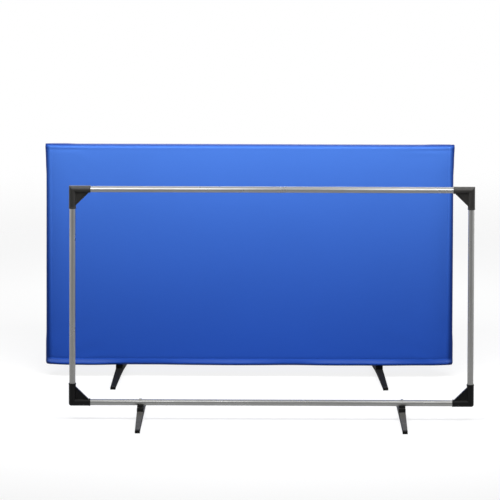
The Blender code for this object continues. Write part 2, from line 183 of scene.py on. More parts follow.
# Colours, in linear red, green and blue
TUBE_DARK = (0.28, 0.28, 0.275)
TUBE_LIGHT = (0.37, 0.37, 0.36)
TUBE_HANDLED = (0.24, 0.236, 0.225)
ZINC_BRIGHT = (0.60, 0.61, 0.62)
ZINC_DULL = (0.50, 0.48, 0.42)
ZINC_RUBBED = (0.72, 0.72, 0.71)
DUST = (0.30, 0.29, 0.27)
# Painted shade along the cover's edges
PAINTED_EDGE_SHADE = (0.0045, 0.030, 0.200)
WHITE = (1, 1, 1, 1)

# Camera, fitted to the photograph's two outlines
CAMERA_PLACE = (-0.063, -59.71, 16.059)
CAMERA_TILT = math.radians(14.578)
CAMERA_PAN = math.radians(0.027)
CAMERA_ROLL = math.radians(0.189)
FOCAL_PIXELS = 17801
CAMERA_REACH = 120
PHOTO_PIXELS = 500
SENSOR = 36

# Floor, and how far it is lifted to white for the camera's own rays and for mirrored ones
FLOOR_RADIUS = 3.4
FLOOR_SOLID = 1.7
FLOOR_SIDES = 96
FLOOR_SHADE = 0.24
FLOOR_LIFT = 0.77
FLOOR_MIRRORED = 0.48

# Soft studio: its brightness on each side, and how far a direction leans to reach that side
DIFFUSE_STUDIO = {"Side": 0.05, "Front": 0.22, "Behind": 0.55, "Up": 0.10}
GLOSSY_STUDIO = {"Side": 1.20, "Front": 0.54, "Behind": 0.95, "Up": 0.0}
FACING_FROM = 0.3
FACING_FULL = 0.9
ABOVE_FROM = 0.15
ABOVE_FULL = 0.95

# Lamps: name, place, the place it is aimed at, width and height, and radiance
WASH_LAMP = ("wash", (0.0, -0.48, 1.58), (0.0, 0.29, 0.45), (2.8, 0.35), 13.9)
RAIL_LAMPS = (
    ("rail_left", (-0.29, -1.03, 1.49), (-0.29, -0.29, 0.82), (0.50, 0.75), 2.8),
    ("rail_right", (0.60, -1.03, 1.49), (0.60, -0.29, 0.82), (0.42, 0.75), 2.8),
)
GLINT_LAMPS = (
    ("glint_left", (-0.47, -1.03, 1.49), (-0.47, -0.29, 0.82), (0.38, 0.40), 11.5),
    ("glint_right", (0.62, -1.03, 1.49), (0.62, -0.29, 0.82), (0.36, 0.40), 15.0),
)
BACK_LAMP = ("back", (0.0, 1.75, 1.45), (0.0, 0.29, 0.45), (2.4, 0.6), 4.0)

# Words that the shader nodes take
VECTOR = "NodeSocketVector"
VALUE = "NodeSocketFloat"
SOFT = "SMOOTHSTEP"


def node_middle(name, axis):
    """The middle of a CAD node along one axis."""
    low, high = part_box(name)
    return (low[axis] + high[axis]) / 2


def node_size(name, axis):
    """A CAD node's size along one axis."""
    low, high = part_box(name)
    return high[axis] - low[axis]


# The covered frame's own places, from its nodes, and the cover's places over them
cover_plane = node_middle("covered_top_rail", 1)
left_axis = node_middle("covered_left_post", 0)
right_axis = node_middle("covered_right_post", 0)
top_axis = node_middle("covered_top_rail", 2)
bottom_axis = node_middle("covered_bottom_rail", 2)
frame_corners = [(x, z) for x in (left_axis, right_axis) for z in (top_axis, bottom_axis)]
tube_radius = node_size("covered_top_rail", 2) / 2
arm_radius = node_size("covered_top_left_corner", 1) / 2
rail_arm = node_size("covered_top_left_corner", 0) - arm_radius
post_arm = node_size("covered_top_left_corner", 2) - arm_radius
on_tube = tube_radius + OVER_TUBE
on_arm = arm_radius + OVER_ARM
hem_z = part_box("cover_front_panel")[0].z
side_edge = on_tube + CLOTH + SIDE_SLACK
top_edge = top_axis + on_tube + CLOTH


# Node helpers. A Mix node takes its two numbers at 2 and 3, and its two colours at 6 and 7


def is_output(value):
    """Whether a value is another node's output, and not a plain number or colour."""
    return isinstance(value, bpy.types.NodeSocket)


def fill(tree, socket, value):
    """Links a socket to another node's output, or sets a plain value on it."""
    if is_output(value):
        tree.links.new(value, socket)
    else:
        socket.default_value = value


def put(tree, kind, inputs=(), **settings):
    """A shader node of that kind. Each input is a plain value or another node's output."""
    made = tree.nodes.new("ShaderNode" + kind)
    for name, value in settings.items():
        setattr(made, name, value)
    for socket, value in dict(inputs).items():
        fill(tree, made.inputs[socket], value)
    return made


def new_group(name, takes, gives):
    """An empty node group with named sockets, its inputs' outlets and its outputs' inlets."""
    tree = bpy.data.node_groups.new(name, "ShaderNodeTree")
    for label, kind in takes:
        tree.interface.new_socket(label, in_out="INPUT", socket_type=kind)
    for label, kind in gives:
        tree.interface.new_socket(label, in_out="OUTPUT", socket_type=kind)
    entry = tree.nodes.new("NodeGroupInput").outputs
    way_out = tree.nodes.new("NodeGroupOutput").inputs
    return tree, entry, way_out


def worked_out(tree, operation, *values):
    """One value worked out from others."""
    return put(tree, "Math", dict(enumerate(values)), operation=operation).outputs[0]


def multiplied(tree, first, *others):
    """The values multiplied together."""
    for value in others:
        first = worked_out(tree, "MULTIPLY", first, value)
    return first


def share_between(tree, value, start, end, shape="LINEAR"):
    """0 where the value is at start, 1 where it is at end, and no less or more past them."""
    inputs = {"Value": value, "From Min": start, "From Max": end}
    return put(tree, "MapRange", inputs, interpolation_type=shape).outputs["Result"]


def ranged(tree, share, low, high):
    """A 0 to 1 share turned into a value from low to high."""
    return put(tree, "MapRange", {"Value": share, "To Min": low, "To Max": high}).outputs["Result"]


def noise_over(tree, place, scale, detail, roughness=0.5):
    """Soft noise over the surface, from 0 to 1."""
    inputs = {"Vector": place, "Scale": scale, "Detail": detail, "Roughness": roughness}
    return put(tree, "TexNoise", inputs).outputs["Fac"]


def axes_of(tree, vector):
    """The X, Y and Z of a vector."""
    return put(tree, "SeparateXYZ", {"Vector": vector}).outputs


def stretched(tree, place, scale):
    """The place stretched by a scale for each axis."""
    return put(tree, "VectorMath", {0: place, 1: scale}, operation="MULTIPLY").outputs[0]


def blended(tree, share, low, high):
    """Value low where the share is 0, and value high where it is 1."""
    return put(tree, "Mix", {"Factor": share, 2: low, 3: high}).outputs[0]


def mixed(tree, mask, low, high):
    """Colour low where the mask is 0, and colour high where it is 1."""
    low, high = (colour if is_output(colour) else (*colour, 1) for colour in (low, high))
    return put(tree, "Mix", {"Factor": mask, 6: low, 7: high}, data_type="RGBA").outputs[2]


def bumped(tree, height, distance, strength, normal=None):
    """The normal of a relief of that height, over another normal if one is given."""
    inputs = {"Height": height, "Distance": distance, "Strength": strength}
    if normal is not None:
        inputs["Normal"] = normal
    return put(tree, "Bump", inputs).outputs[0]


def feed(tree, shader, **sockets):
    """Links or sets the shader's sockets, named with _ for a space."""
    for name, value in sockets.items():
        fill(tree, shader.inputs[name.replace("_", " ")], value)


# Effects that several finishes share


def drawn_lines_group():
    """Fine lines that drawing leaves along a tube, and the smudges of handling."""
    takes = (("Place", VECTOR), ("Run", VECTOR), ("Smudge Scale", VALUE))
    gives = (("Lines", VALUE), ("Smudge", VALUE))
    tree, entry, way_out = new_group("drawn_lines", takes, gives)
    drawn = stretched(tree, entry["Place"], entry["Run"])
    lines = noise_over(tree, drawn, scale=1.0, detail=4.0, roughness=0.65)
    smear = noise_over(tree, entry["Place"], entry["Smudge Scale"], detail=5.0, roughness=0.6)
    smudge = share_between(tree, smear, start=0.35, end=0.68, shape=SOFT)
    tree.links.new(lines, way_out["Lines"])
    tree.links.new(smudge, way_out["Smudge"])
    return tree


def moulded_grain_group():
    """The pebbled grain of a moulding, and the slow drift in its gloss."""
    takes = (("Place", VECTOR), ("Grain Scale", VALUE))
    gives = (("Grain", VALUE), ("Drift", VALUE))
    tree, entry, way_out = new_group("moulded_grain", takes, gives)
    inputs = {"Vector": entry["Place"], "Scale": entry["Grain Scale"], "Smoothness": 0.8}
    pebble = put(tree, "TexVoronoi", inputs, feature="SMOOTH_F1").outputs["Distance"]
    drift = noise_over(tree, entry["Place"], scale=26.0, detail=4.0, roughness=0.55)
    tree.links.new(pebble, way_out["Grain"])
    tree.links.new(drift, way_out["Drift"])
    return tree


def edge_wear_group():
    """A mask of the outer edges, broken up as rubbing breaks it up, and the softened normal."""
    takes = (("Place", VECTOR), ("Radius", VALUE), ("Amount", VALUE))
    gives = (("Mask", VALUE), ("Normal", VECTOR))
    tree, entry, way_out = new_group("edge_wear", takes, gives)
    soft = put(tree, "Bevel", {"Radius": entry["Radius"]}, samples=6).outputs["Normal"]
    flat = put(tree, "NewGeometry").outputs["True Normal"]
    turn = put(tree, "VectorMath", {0: soft, 1: flat}, operation="DOT_PRODUCT").outputs["Value"]
    edge = share_between(tree, turn, start=0.995, end=0.90)
    rub = noise_over(tree, entry["Place"], scale=170.0, detail=5.0, roughness=0.7)
    patch = share_between(tree, rub, start=0.44, end=0.64, shape=SOFT)
    tree.links.new(multiplied(tree, edge, patch, entry["Amount"]), way_out["Mask"])
    tree.links.new(soft, way_out["Normal"])
    return tree


def dust_group():
    """A mask of the light dust that settles on faces that look up."""
    takes = (("Place", VECTOR), ("Amount", VALUE))
    tree, entry, way_out = new_group("settled_dust", takes, (("Mask", VALUE),))
    facing = axes_of(tree, put(tree, "NewGeometry").outputs["True Normal"])
    upward = share_between(tree, facing["Z"], start=0.35, end=1.0, shape=SOFT)
    specks = noise_over(tree, entry["Place"], scale=95.0, detail=6.0, roughness=0.75)
    tree.links.new(multiplied(tree, upward, specks, entry["Amount"]), way_out["Mask"])
    return tree


def plain_weave_group():
    """Warp and weft of a plain woven cloth. Threads run across in X and Y, and up in Z."""
    takes = (("Place", VECTOR), ("Threads", VALUE))
    gives = (("Height", VALUE), ("Slub", VALUE))
    tree, entry, way_out = new_group("plain_weave", takes, gives)
    axes = axes_of(tree, entry["Place"])
    ways = []
    for first, second in (("X", "Y"), ("Z", "Y")):
        run = worked_out(tree, "ADD", axes[first], axes[second])
        ways.append(worked_out(tree, "SINE", multiplied(tree, run, entry["Threads"])))
    slub = noise_over(tree, stretched(tree, entry["Place"], SLUB_RUN), scale=1.0, detail=3.0)
    tree.links.new(multiplied(tree, *ways), way_out["Height"])
    tree.links.new(slub, way_out["Slub"])
    return tree


def studio_group():
    """How bright the studio is in each direction: at the sides, in front, behind and above."""
    takes = [("Direction", VECTOR)] + [(side, VALUE) for side in ("Side", "Front", "Behind", "Up")]
    tree, entry, way_out = new_group("studio_by_direction", takes, (("Strength", VALUE),))
    facing = axes_of(tree, entry["Direction"])
    strength = entry["Side"]
    for side, way in (("Front", -1), ("Behind", 1)):
        share = share_between(tree, facing["Y"], way * FACING_FROM, way * FACING_FULL, SOFT)
        strength = blended(tree, share, strength, entry[side])
    above = share_between(tree, facing["Z"], ABOVE_FROM, ABOVE_FULL, SOFT)
    lifted = worked_out(tree, "MULTIPLY_ADD", above, entry["Up"], strength)
    tree.links.new(lifted, way_out["Strength"])
    return tree


groups = {
    "lines": drawn_lines_group(),
    "grain": moulded_grain_group(),
    "wear": edge_wear_group(),
    "dust": dust_group(),
    "weave": plain_weave_group(),
    "studio": studio_group(),
}


def place_group(tree, name, inputs):
    """One of the shared effects placed in a material with that material's own values."""
    return put(tree, "Group", inputs, node_tree=groups[name]).outputs


# Finishes


def new_material(name):
    """A material with an empty graph, its Principled shader and the object's own coordinates."""
    made = bpy.data.materials.new(name)
    made.use_nodes = True
    tree = made.node_tree
    tree.nodes.clear()
    shader = put(tree, "BsdfPrincipled")
    tree.links.new(shader.outputs[0], put(tree, "OutputMaterial").inputs["Surface"])
    place = put(tree, "TexCoord").outputs["Object"]
    return made, tree, shader, place


def satin_tube(name, run):
    """Drawn aluminium with a satin finish. run is how finely its lines repeat along each axis."""
    made, tree, shader, place = new_material(name)
    drawn = place_group(tree, "lines", {"Place": place, "Run": run, "Smudge Scale": 11.0})
    wear = place_group(tree, "wear", {"Place": place, "Radius": TUBE_EDGE, "Amount": 0.6})
    body = mixed(tree, drawn["Lines"], TUBE_DARK, TUBE_LIGHT)
    feed(
        tree,
        shader,
        Base_Color=mixed(tree, ranged(tree, drawn["Smudge"], 0.0, 0.25), body, TUBE_HANDLED),
        Metallic=1.0,
        Roughness=ranged(tree, drawn["Smudge"], 0.27, 0.33),
        Normal=bumped(tree, drawn["Lines"], LINE_DEPTH, strength=0.10, normal=wear["Normal"]),
    )
    return made


def black_moulding(name, colour, worn, roughness, gloss, grain, dust):
    """Injection moulded plastic with a fine grain, rubbed edges and a little dust."""
    made, tree, shader, place = new_material(name)
    skin = place_group(tree, "grain", {"Place": place, "Grain Scale": grain})
    wear = place_group(tree, "wear", {"Place": place, "Radius": MOULDED_EDGE, "Amount": 0.8})
    settled = place_group(tree, "dust", {"Place": place, "Amount": dust})
    darker = tuple(part * DARK_PATCH for part in colour)
    lighter = tuple(part * LIGHT_PATCH for part in colour)
    rubbed = mixed(tree, wear["Mask"], mixed(tree, skin["Drift"], darker, lighter), worn)
    feed(
        tree,
        shader,
        Base_Color=mixed(tree, settled["Mask"], rubbed, DUST),
        Roughness=ranged(tree, skin["Drift"], roughness - GLOSS_DRIFT, roughness + GLOSS_DRIFT),
        Specular_IOR_Level=gloss,
        Normal=bumped(tree, skin["Grain"], GRAIN_DEPTH, strength=0.5, normal=wear["Normal"]),
    )
    return made


def zinc_plate():
    """Bright zinc on the bolts, washers and nuts, a little yellow where it has dulled."""
    made, tree, shader, place = new_material("zinc_plate")
    run = (PLATED_LINES, PLATED_LINES, PLATED_LINES)
    drawn = place_group(tree, "lines", {"Place": place, "Run": run, "Smudge Scale": 190.0})
    wear = place_group(tree, "wear", {"Place": place, "Radius": PLATED_EDGE, "Amount": 1.0})
    plated = mixed(tree, drawn["Smudge"], ZINC_BRIGHT, ZINC_DULL)
    feed(
        tree,
        shader,
        Base_Color=mixed(tree, wear["Mask"], plated, ZINC_RUBBED),
        Metallic=1.0,
        Roughness=ranged(tree, drawn["Smudge"], 0.22, 0.40),
        Normal=bumped(tree, drawn["Lines"], LINE_DEPTH, strength=0.4, normal=wear["Normal"]),
    )
    return made


def thick_threaded(colour):
    """The colour of the same cloth where its threads are thick."""
    return tuple(part * THICK_THREAD for part in colour)


def hem_highlight_mask(tree, place):
    """1 in the hem's band of painted highlight where the cloth looks up, broken up along it and fading
    out.
    """
    height = axes_of(tree, place)["Z"]
    low = hem_z + HEM_HIGHLIGHT_LOW
    high = hem_z + HEM_HIGHLIGHT_HIGH
    patches = noise_over(tree, stretched(tree, place, HEM_HIGHLIGHT_RUN), scale=1.0, detail=4.0)
    facing = axes_of(tree, put(tree, "NewGeometry").outputs["Normal"])["Z"]
    return multiplied(
        tree,
        ranged(tree, patches, HEM_HIGHLIGHT_LEAST, 1.0),
        share_between(tree, facing, LOOKS_UP_FROM, LOOKS_UP_FULL),
        share_between(tree, height, low - HEM_HIGHLIGHT_FADE, low + HEM_HIGHLIGHT_FADE, SOFT),
        share_between(tree, height, high + HEM_HIGHLIGHT_FADE, high - HEM_HIGHLIGHT_FADE, SOFT),
    )


def edge_shade_mask(tree, place):
    """1 at the cover's side and top edges and under its hem, where shade is painted on the cloth,
    widening towards the hem at the sides, and 0 a little way in."""
    axes = axes_of(tree, place)
    middle = (left_axis + right_axis) / 2
    edge = (right_axis - left_axis) / 2 + side_edge
    away = worked_out(tree, "ABSOLUTE", worked_out(tree, "SUBTRACT", axes["X"], middle))
    down = share_between(tree, axes["Z"], top_axis, hem_z)
    lower = worked_out(tree, "POWER", down, EDGE_SHADE_CURVE)
    widened = worked_out(tree, "MULTIPLY_ADD", lower, EDGE_SHADE_WIDENS, away)
    at_sides = share_between(tree, widened, edge - EDGE_SHADE_FROM, edge)
    at_hem = share_between(tree, axes["Z"], hem_z + HEM_EDGE_SHADE, hem_z + HEM_EDGE_SHADE / 2)
    at_top = share_between(tree, axes["Z"], top_edge - TOP_EDGE_SHADE, top_edge)
    return worked_out(tree, "MAXIMUM", worked_out(tree, "MAXIMUM", at_sides, at_hem), at_top)


def coated_cloth(name, deep, lit_top_colour, hem_highlight, roughness):
    """Coated plain weave with a low sheen: deep blue at the hem, and paler and lighter towards the top
    edge as painted light. Lighter where its threads are thick, with painted shade along its side, top
    and lower edges, and a painted highlight along the hem where the cloth looks up."""
    made, tree, shader, place = new_material(name)
    weave = place_group(tree, "weave", {"Place": place, "Threads": WEAVE_TURNS})
    drift = noise_over(tree, place, DYE_DRIFT_SCALE, detail=3.0)
    slub = ranged(tree, weave["Slub"], 0.0, SLUB_SHARE)
    threads = worked_out(tree, "ADD", slub, ranged(tree, drift, 0.0, DYE_DRIFT_SHARE))
    # Painted light: the cloth turns paler and lighter from the hem up to the top rail
    painted_top_light = share_between(tree, axes_of(tree, place)["Z"], hem_z, top_axis)
    dyed_and_lit = mixed(tree, painted_top_light, deep, lit_top_colour)
    thick = mixed(tree, painted_top_light, thick_threaded(deep), thick_threaded(lit_top_colour))
    woven = mixed(tree, threads, dyed_and_lit, thick)
    # Painted shade along the cover's side, top and lower edges
    edge_shaded = mixed(tree, edge_shade_mask(tree, place), woven, PAINTED_EDGE_SHADE)
    feed(
        tree,
        shader,
        # Painted highlight along the hem, where the cloth looks up
        Base_Color=mixed(tree, hem_highlight_mask(tree, place), edge_shaded, hem_highlight),
        Roughness=ranged(
            tree, weave["Slub"], roughness - CLOTH_SMOOTHER, roughness + CLOTH_ROUGHER
        ),
        Specular_IOR_Level=CLOTH_GLOSS,
        Normal=bumped(tree, weave["Height"], WEAVE_DEPTH, strength=0.45),
    )
    return made


rail_finish = satin_tube("satin_tube_along_x", (LINES_ALONG, LINES_ACROSS, LINES_ACROSS))
post_finish = satin_tube("satin_tube_along_z", (LINES_ACROSS, LINES_ACROSS, LINES_ALONG))
finishes = {
    "corner_moulding": black_moulding(
        "black_corner_moulding",
        colour=(0.005, 0.005, 0.0052),
        worn=(0.026, 0.026, 0.026),
        roughness=0.42,
        gloss=0.14,
        grain=CORNER_GRAIN,
        dust=0.05,
    ),
    "leg_moulding": black_moulding(
        "black_leg_moulding",
        colour=(0.008, 0.008, 0.0085),
        worn=(0.032, 0.032, 0.033),
        roughness=0.66,
        gloss=0.06,
        grain=LEG_GRAIN,
        dust=0.03,
    ),
    "foot_rubber": black_moulding(
        "black_foot_rubber",
        colour=(0.008, 0.008, 0.008),
        worn=(0.024, 0.024, 0.023),
        roughness=0.78,
        gloss=0.14,
        grain=RUBBER_GRAIN,
        dust=0.08,
    ),
    "zinc_steel": zinc_plate(),
    "cover_cloth": coated_cloth(
        "blue_coated_cloth",
        deep=(0.016, 0.076, 0.450),
        lit_top_colour=(0.040, 0.118, 0.425),
        hem_highlight=(0.062, 0.130, 0.470),
        roughness=0.50,
    ),
}
# Painted light: a lighter, glossier copy of the corner moulding for the bare frame's top corners
lit_top_corners = black_moulding(
    "lit_corner_moulding",
    colour=(0.015, 0.0145, 0.0136),
    worn=(0.040, 0.039, 0.037),
    roughness=0.40,
    gloss=0.22,
    grain=CORNER_GRAIN,
    dust=0.08,
)
# Lighter copy of the leg moulding for the bare frame: heavy dust on its top faces and brighter worn
# edges, partly real dust and wear, partly painted light
dusty_lit_legs = black_moulding(
    "dusty_lit_leg_moulding",
    colour=(0.009, 0.009, 0.009),
    worn=(0.070, 0.070, 0.069),
    roughness=0.54,
    gloss=0.16,
    grain=LEG_GRAIN,
    dust=0.40,
)
thread_finish = coated_cloth(
    "blue_thread",
    deep=(0.014, 0.055, 0.300),
    lit_top_colour=(0.024, 0.080, 0.390),
    hem_highlight=(0.030, 0.090, 0.400),
    roughness=0.62,
)


def finish_cad_nodes():
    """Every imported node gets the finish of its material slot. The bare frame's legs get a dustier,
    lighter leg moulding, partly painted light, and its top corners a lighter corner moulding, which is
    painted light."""
    for part in frame["record"]["subparts"]:
        name, slot = part["node"], part["material_slot"]
        made = finishes.get(slot)
        if slot == "frame_tube":
            made = post_finish if name.endswith("post") else rail_finish
        if slot == "leg_moulding" and name.startswith("bare"):
            made = dusty_lit_legs
        if name.startswith("bare_top") and name.endswith("corner"):
            made = lit_top_corners
        for seat in frame["nodes"][name].material_slots:
            seat.material = made


# Shape of the cover


def smooth(value, low, high):
    """0 below low, 1 above high and a smooth step between."""
    share = np.clip((value - low) / (high - low), 0, 1)
    return share * share * (3 - 2 * share)


def bell(distance, reach):
    """1 at a distance of 0, falling away over its reach."""
    return np.exp(-((distance / reach) ** 2))


def nearest(place, first, second):
    """Distance from a place to the nearer of two axes."""
    return np.minimum(np.abs(place - first), np.abs(place - second))


def drift_along(x, z, wave, seed):
    """A slow, even noise from -1 to 1 over the cloth. The seed is its place in the noise."""
    flat_x, flat_z = np.broadcast_arrays(x, z)
    values = [
        noise.noise(Vector((a / wave, b / wave, seed)))
        for a, b in zip(flat_x.ravel(), flat_z.ravel())
    ]
    return np.array(values).reshape(flat_x.shape)


def over_arm(distance, arm):
    """How much the cloth rides on the corner piece's arm: 1 over it, and 0 past its mouth."""
    return 1 - smooth(distance, arm - ARM_FADE_START, arm + ARM_FADE)


def cloth_over(held):
    """How far the cloth's inside lies from the axis of the tube, or of the arm where it is held."""
    return on_tube + (on_arm - on_tube) * held


def turn_over(held):
    """How wide the cloth turns over the tube, or over the arm where it is held."""
    return TURN_OVER_TUBE + (TURN_OVER_ARM - TURN_OVER_TUBE) * held


def arm_prints(x, z):
    """Where the four corner pieces push the cloth out, from 0 to 1."""
    prints = np.zeros(np.broadcast_shapes(np.shape(x), np.shape(z)))
    for corner_x, corner_z in frame_corners:
        across = np.abs(x - corner_x)
        up = np.abs(z - corner_z)
        on_post = over_arm(up, post_arm) * bell(across, ARM_FADE_INWARD)
        on_rail = over_arm(across, rail_arm) * bell(up, ARM_FADE_INWARD)
        prints = np.maximum(prints, on_post + on_rail - on_post * on_rail)
    return prints


def corner_folds(x, z):
    """Shallow folds that run out from each corner, where the cloth is pulled tight."""
    folds = 0
    for corner_x, corner_z in frame_corners:
        across = np.abs(x - corner_x)
        up = np.abs(z - corner_z)
        reach = np.hypot(across, up)
        angle = np.arctan2(up, across + MM)
        strength = smooth(reach, FOLD_START, FOLD_FULL) * np.exp(-reach / FOLD_REACH)
        lean = drift_along(x, z, FOLD_REACH, corner_x + corner_z)
        folds = folds + strength * np.sin(FOLDS_ROUND_A_CORNER * angle + FOLD_LEAN * lean)
    return FOLD_HEIGHT * folds


def hem_swell(x, height, side):
    """How far the doubled hem stands out, at a height above its lower edge."""
    swing = drift_along(x, 0 * x, HEM_WAVE, HEM_NOISE + HEM_NOISE_STEP * (side + 1))
    lively = np.clip(HEM_MEAN + HEM_SWING * swing, HEM_LEAST, HEM_MOST)
    flare = np.clip(1 - height / HEM_HEIGHT, 0, 1) ** HEM_FLARE_CURVE
    curl = np.clip(1 - height / HEM_ROLL, 0, 1) ** 2
    pinch = bell(height - HEM_HEIGHT, STITCH_PINCH_REACH)
    return HEM_SWELL * lively * flare - HEM_CURL * curl - STITCH_PINCH * pinch


def hem_line(x):
    """Height of the hem's lower edge, which rises and falls a little along it."""
    return hem_z + HEM_RISE * (1 + drift_along(x, 0 * x, HEM_RISE_WAVE, HEM_RISE_NOISE)) / 2


def belly(x, z):
    """How far the cloth stands off the frame between the posts, where it falls back to them: the
    further down, the slacker it hangs."""
    down = np.clip((top_axis - z) / (top_axis - hem_z), 0, 1)
    reach = SIDE_FALL_REACH * (TOP_REACH_SHARE + (1 - TOP_REACH_SHARE) * down)
    depth = SIDE_FALL * (TOP_FALL_SHARE + (1 - TOP_FALL_SHARE) * down)
    near = np.minimum(x - left_axis, right_axis - x)
    return depth * (1 - np.clip(1 - near / reach, 0, 1) ** 2)


def corner_crease(x, z):
    """The crease under the top rail, where the cloth dips past the two corner pieces."""
    along = np.exp(-((nearest(x, left_axis, right_axis) / CREASE_RUN) ** 4))
    return CREASE * along * bell(z - top_axis + CREASE_DROP, CREASE_WIDTH)


def standing_out(x, z, side):
    """Distance from the cover's middle plane to its outer face. side is -1 in front, 1 behind."""
    held = arm_prints(x, z)
    off_left = smooth(x, left_axis, left_axis + FACE_FROM_POST)
    off_right = smooth(-x, -right_axis, FACE_FROM_POST - right_axis)
    inside = off_left * off_right
    slow = 1 + drift_along(x, z, BILLOW_WAVE, BILLOW_NOISE * side)
    billow = BILLOW * inside * (1 - held) * slow
    folds = (corner_folds(x, z) + FOLD_HEIGHT) * inside * (1 - FOLD_HELD_SHARE * held)
    stands = cloth_over(held) + CLOTH + belly(x, z) + billow + folds - corner_crease(x, z)
    return stands + hem_swell(x, z - hem_line(x), side)


def side_reach(z):
    """How far the cover's side edges lie outside the post's axis, and how wide they turn."""
    held = over_arm(nearest(z, top_axis, bottom_axis), post_arm)
    swell = HEM_AT_SIDES * hem_swell(0 * z, z - hem_z, 0)
    flare = SIDE_FLARE * np.exp((z - top_axis) / SIDE_FLARE_REACH)
    return cloth_over(held) + CLOTH + swell + SIDE_SLACK + flare, turn_over(held) + SIDE_SLACK


def top_reach(x):
    """The same for the cover's top edge, over the top rail."""
    held = over_arm(nearest(x, left_axis, right_axis), rail_arm)
    return cloth_over(held) + CLOTH, turn_over(held)


def stations(span, near, step, far):
    """Places from 0 to span: as close together as near says at the start, and far at the end."""
    first = np.array(near) * MM
    last = span - np.array(far)[::-1] * MM
    count = int(round((last[0] - first[-1]) / step))
    between = np.linspace(first[-1], last[0], count + 1)
    return np.concatenate([first[:-1], between, last[1:]])


def cover_grid():
    """Plane places of the cover's flat part: rows of X and of Z, and the turn at its rim."""
    width = right_axis - left_axis
    columns = stations(width, EDGE_COLUMNS_MM, COLUMN_STEP, EDGE_COLUMNS_MM) / width
    height = top_axis - hem_z
    rows = stations(height, HEM_ROWS_MM, ROW_STEP, EDGE_COLUMNS_MM)
    nominal_x = left_axis + width * columns
    nominal_z = hem_z + rows
    side_out, side_turn = side_reach(nominal_z)
    top_out, top_turn = top_reach(nominal_x)
    left = (left_axis - side_out + side_turn)[:, None]
    right = (right_axis + side_out - side_turn)[:, None]
    x = left + (right - left) * columns[None, :]
    low = hem_line(nominal_x)[None, :]
    high = (top_axis + top_out - top_turn)[None, :]
    z = low + (high - low) * (rows / height)[:, None]
    return x, z, side_turn, top_turn


def rim_path(rows, columns):
    """The flat part's edge, up the left side, along the top and down the right side: the row and
    column of each of its points, and the ways in X and Z that the cloth turns there."""
    up = [(k, 0, -1, 0) for k in range(rows - 1)]
    along = [(rows - 1, i, 0, 1) for i in range(columns)]
    along[0] = (rows - 1, 0, -1, 1)
    along[-1] = (rows - 1, columns - 1, 1, 1)
    down = [(k, columns - 1, 1, 0) for k in range(rows - 2, -1, -1)]
    return up + along + down


def corner_rounded(x, z):
    """Pulls the cover's two top corners in to a small round."""
    for side, axis in ((-1, left_axis), (1, right_axis)):
        edge_x = axis + side * (on_arm + CLOTH + SIDE_SLACK + SIDE_FLARE - CORNER_ROUND)
        edge_z = top_axis + on_arm + CLOTH - CORNER_ROUND
        out_x, out_z = side * (x - edge_x), z - edge_z
        if out_x > 0 and out_z > 0:
            share = max(out_x, out_z) / math.hypot(out_x, out_z)
            return edge_x + side * out_x * share, edge_z + out_z * share
    return x, z


def cover_skin():
    """The sleeve's outer face, in front, over the frame and behind: its points, its faces, and the
    point numbers of the front and back sheets, row by row."""
    x, z, side_turn, top_turn = cover_grid()
    rows, columns = x.shape
    path = rim_path(rows, columns)
    points, faces, sheets, strips = [], [], [], []

    def keep(px, pz, py):
        """Keeps one point of the sleeve and gives its number."""
        px, pz = corner_rounded(px, pz)
        points.append((px, cover_plane + py, pz))
        return len(points) - 1

    for side in (-1, 1):
        out = standing_out(x, z, side)
        sheet = [
            [keep(x[k, i], z[k, i], side * out[k, i]) for i in range(columns)] for k in range(rows)
        ]
        sheets.append(sheet)
        strip = [[sheet[k][i] for k, i, _, _ in path]]
        for step in range(TURN_STEPS - 1, 0, -1):
            angle = math.pi / 2 * step / TURN_STEPS
            ring = []
            for k, i, way_x, way_z in path:
                px = x[k, i] + way_x * side_turn[k] * math.cos(angle)
                pz = z[k, i] + way_z * top_turn[i] * math.cos(angle)
                ring.append(keep(px, pz, side * out[k, i] * math.sin(angle)))
            strip.append(ring)
        strips.append(strip)
    middle = [
        keep(x[k, i] + way_x * side_turn[k], z[k, i] + way_z * top_turn[i], 0)
        for k, i, way_x, way_z in path
    ]
    for sheet in sheets:
        for low, high in zip(sheet, sheet[1:]):
            faces += [(low[i], low[i + 1], high[i + 1], high[i]) for i in range(columns - 1)]
    for strip in strips:
        for inner, outer in zip(strip, strip[1:] + [middle]):
            faces += [
                (inner[j], outer[j], outer[j + 1], inner[j + 1]) for j in range(len(path) - 1)
            ]
    return points, faces, sheets


def to_object(name, points, faces, material):
    """A smooth shaded mesh object with its faces pointing out."""
    mesh = bpy.data.meshes.new(name)
    mesh.from_pydata(points, [], faces)
    bm = bmesh.new()
    bm.from_mesh(mesh)
    bmesh.ops.recalc_face_normals(bm, faces=bm.faces)
    bm.to_mesh(mesh)
    bm.free()
    mesh.shade_smooth()
    mesh.materials.append(material)
    made = bpy.data.objects.new(name, mesh)
    bpy.context.scene.collection.objects.link(made)
    return made


# Stitching


def walked(line, step):
    """Points at equal steps along a line of points, with the line's direction at each."""
    line = np.array(line)
    lengths = np.linalg.norm(np.diff(line, axis=0), axis=1)
    run = np.concatenate([[0], np.cumsum(lengths)])
    stops = np.arange(step / 2, run[-1], step)
    places = np.stack([np.interp(stops, run, line[:, axis]) for axis in range(3)], axis=1)
    ahead = np.stack([np.interp(stops + step / 4, run, line[:, axis]) for axis in range(3)], axis=1)
    ways = ahead - places
    return places, ways / np.linalg.norm(ways, axis=1)[:, None]


